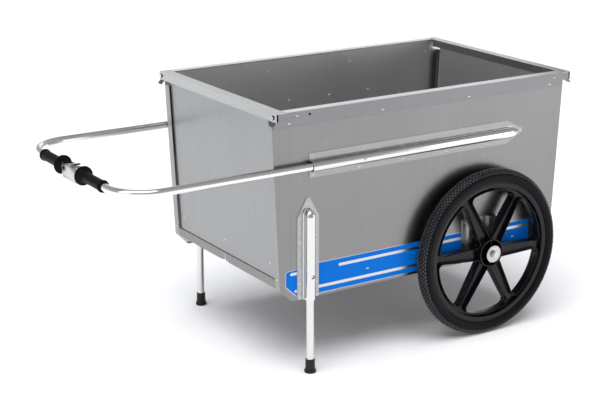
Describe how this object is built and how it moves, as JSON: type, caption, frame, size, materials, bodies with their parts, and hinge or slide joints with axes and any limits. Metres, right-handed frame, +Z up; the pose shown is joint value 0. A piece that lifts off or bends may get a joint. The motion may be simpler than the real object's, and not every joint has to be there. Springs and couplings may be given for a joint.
{
  "type": "folding garden cart",
  "caption": "Folding aluminium garden cart: open rectangular box with rails, two large spoked side wheels, two front legs and a U-shaped tube handle with grips.",
  "frame": {"origin": "floor level under the middle of the cart's overall bounding box", "axes": "+X from the pull handle to the rear panel, +Y to the far side, +Z up; upright on legs and wheels"},
  "size_m": [1.506, 0.7668, 0.764],
  "materials": {
    "sheet": "brushed mill finish",
    "rail": "satin",
    "channel": "satin",
    "rivet": "bright",
    "bracket": "zinc plated",
    "steel": "bright plated",
    "washer": "zinc plated",
    "hinge": "zinc plated",
    "spring_steel": "dull",
    "latch_metal": "zinc plated",
    "tube": "polished",
    "decal": "printed film",
    "plastic": "moulded",
    "nylon": "moulded",
    "rim_plastic": "moulded grain",
    "tyre": "matt",
    "grip_rubber": "moulded",
    "foot_rubber": "moulded"
  },
  "bodies": {
    "near_side": {"near_side_wall": "sheet", "near_top_rail": "rail", "near_wall_rivets": "rivet", "near_handle_channel": "channel", "near_leg_channel": "channel", "near_axle_bracket": "bracket", "near_axle_pin": "steel", "near_decal": "decal", "near_guide_bushes": "plastic", "near_hinge_wall_leaf": "hinge", "near_hinge_pin": "steel"},
    "near_leg": {"near_leg_tube": "tube", "near_leg_foot": "foot_rubber"},
    "near_leg_catch": {"near_leg_button": "steel"},
    "near_wheel": {"near_wheel_rim": "rim_plastic", "near_tyre": "tyre", "near_hub_bushes": "nylon", "near_hub_washer": "washer"},
    "near_release": {"near_hub_button": "steel"},
    "near_handle": {"near_handle_tube": "tube", "near_grip": "grip_rubber"},
    "near_floor": {"near_floor_panel": "sheet", "near_hinge_floor_leaf": "hinge", "near_centre_leaf": "hinge", "centre_hinge_pin": "steel"},
    "far_floor": {"far_floor_panel": "sheet", "far_hinge_floor_leaf": "hinge", "far_centre_leaf": "hinge"},
    "far_side": {"far_side_wall": "sheet", "far_top_rail": "rail", "far_wall_rivets": "rivet", "far_handle_channel": "channel", "far_leg_channel": "channel", "far_axle_bracket": "bracket", "far_axle_pin": "steel", "far_decal": "decal", "far_guide_bushes": "plastic", "far_hinge_wall_leaf": "hinge", "far_hinge_pin": "steel"},
    "far_leg": {"far_leg_tube": "tube", "far_leg_foot": "foot_rubber"},
    "far_leg_catch": {"far_leg_button": "steel"},
    "far_wheel": {"far_wheel_rim": "rim_plastic", "far_tyre": "tyre", "far_hub_bushes": "nylon", "far_hub_washer": "washer"},
    "far_release": {"far_hub_button": "steel"},
    "far_handle": {"far_handle_tube": "tube", "far_grip": "grip_rubber", "saddle_pin": "plastic"},
    "saddle": {"latch_saddle": "latch_metal"},
    "lever": {"latch_lever": "plastic"},
    "front_end": {"front_panel": "sheet", "front_end_rail": "rail", "front_rivets": "rivet"},
    "front_clip": {"front_clips": "spring_steel"},
    "rear_end": {"rear_panel": "sheet", "rear_end_rail": "rail", "rear_rivets": "rivet"},
    "rear_clip": {"rear_clips": "spring_steel"}
  },
  "joints": [
    {"name": "fold", "type": "hinge", "parent": "near_side", "child": "near_floor", "pos_m": [0.228, -0.298, 0.2815], "axis": [1, 0, 0], "range_deg": [0, 84]},
    {"name": "centre_fold", "type": "hinge", "parent": "near_floor", "child": "far_floor", "pos_m": [0.228, 0, 0.256], "axis": [1, 0, 0], "range_deg": [-168, 0]},
    {"name": "far_fold", "type": "hinge", "parent": "far_floor", "child": "far_side", "pos_m": [0.228, 0.298, 0.2815], "axis": [1, 0, 0], "range_deg": [0, 84]},
    {"name": "near_handle_swing", "type": "hinge", "parent": "near_side", "child": "near_handle", "pos_m": [0.128, -0.318, 0.6], "axis": [1, 0, 0], "range_deg": [0, 84]},
    {"name": "far_handle_swing", "type": "hinge", "parent": "far_side", "child": "far_handle", "pos_m": [0.128, 0.318, 0.6], "axis": [1, 0, 0], "range_deg": [-84, 0]},
    {"name": "front_panel_lift", "type": "slide", "parent": "near_side", "child": "front_end", "axis": [-0.2588, 0, 0.9659], "range_m": [0, 1.92]},
    {"name": "rear_panel_lift", "type": "slide", "parent": "near_side", "child": "rear_end", "axis": [0.2588, 0, 0.9659], "range_m": [0, 1.92]},
    {"name": "saddle_flip", "type": "hinge", "parent": "far_handle", "child": "saddle", "pos_m": [-0.726, 0.035, 0.6], "axis": [-1, 0, 0], "range_deg": [0, 95]},
    {"name": "lever_press", "type": "hinge", "parent": "saddle", "child": "lever", "pos_m": [-0.734, -0.013, 0.618], "axis": [0, 1, 0], "range_deg": [0, 11], "stiffness_Nm_per_rad": 0.15, "springref_deg": -34.38},
    {"name": "near_wheel_spin", "type": "hinge", "parent": "near_side", "child": "near_wheel", "pos_m": [0.441, -0.342, 0.254], "axis": [0, 1, 0], "continuous": true},
    {"name": "near_release_press", "type": "slide", "parent": "near_side", "child": "near_release", "axis": [0, 1, 0], "range_m": [0, 0.0025], "stiffness_N_per_m": 1500, "springref_m": -0.0015},
    {"name": "near_leg_slide", "type": "slide", "parent": "near_side", "child": "near_leg", "axis": [0, 0, 1], "range_m": [0, 0.145]},
    {"name": "near_leg_catch_press", "type": "slide", "parent": "near_leg", "child": "near_leg_catch", "axis": [0, 1, 0], "range_m": [0, 0.003], "stiffness_N_per_m": 1200, "springref_m": -0.0015},
    {"name": "far_wheel_spin", "type": "hinge", "parent": "far_side", "child": "far_wheel", "pos_m": [0.441, 0.342, 0.254], "axis": [0, 1, 0], "continuous": true},
    {"name": "far_release_press", "type": "slide", "parent": "far_side", "child": "far_release", "axis": [0, -1, 0], "range_m": [0, 0.0025], "stiffness_N_per_m": 1500, "springref_m": -0.0015},
    {"name": "far_leg_slide", "type": "slide", "parent": "far_side", "child": "far_leg", "axis": [0, 0, 1], "range_m": [0, 0.145]},
    {"name": "far_leg_catch_press", "type": "slide", "parent": "far_leg", "child": "far_leg_catch", "axis": [0, -1, 0], "range_m": [0, 0.003], "stiffness_N_per_m": 1200, "springref_m": -0.0015},
    {"name": "front_clip_spring", "type": "hinge", "parent": "front_end", "child": "front_clip", "pos_m": [-0.2862, 0, 0.7585], "axis": [0, -1, 0], "range_deg": [0, 5], "stiffness_Nm_per_rad": 6, "springref_deg": -1.72},
    {"name": "rear_clip_spring", "type": "hinge", "parent": "rear_end", "child": "rear_clip", "pos_m": [0.7422, 0, 0.7585], "axis": [0, 1, 0], "range_deg": [0, 5], "stiffness_Nm_per_rad": 6, "springref_deg": -1.72}
  ],
  "couplings": [
    {"joint": "centre_fold", "follows": "fold", "ratio": -2},
    {"joint": "far_fold", "follows": "fold", "ratio": 1},
    {"joint": "near_handle_swing", "follows": "fold", "ratio": 1},
    {"joint": "far_handle_swing", "follows": "fold", "ratio": -1},
    {"joint": "front_panel_lift", "follows": "fold", "m_per_rad": 1.3},
    {"joint": "rear_panel_lift", "follows": "fold", "m_per_rad": 1.3}
  ]
}
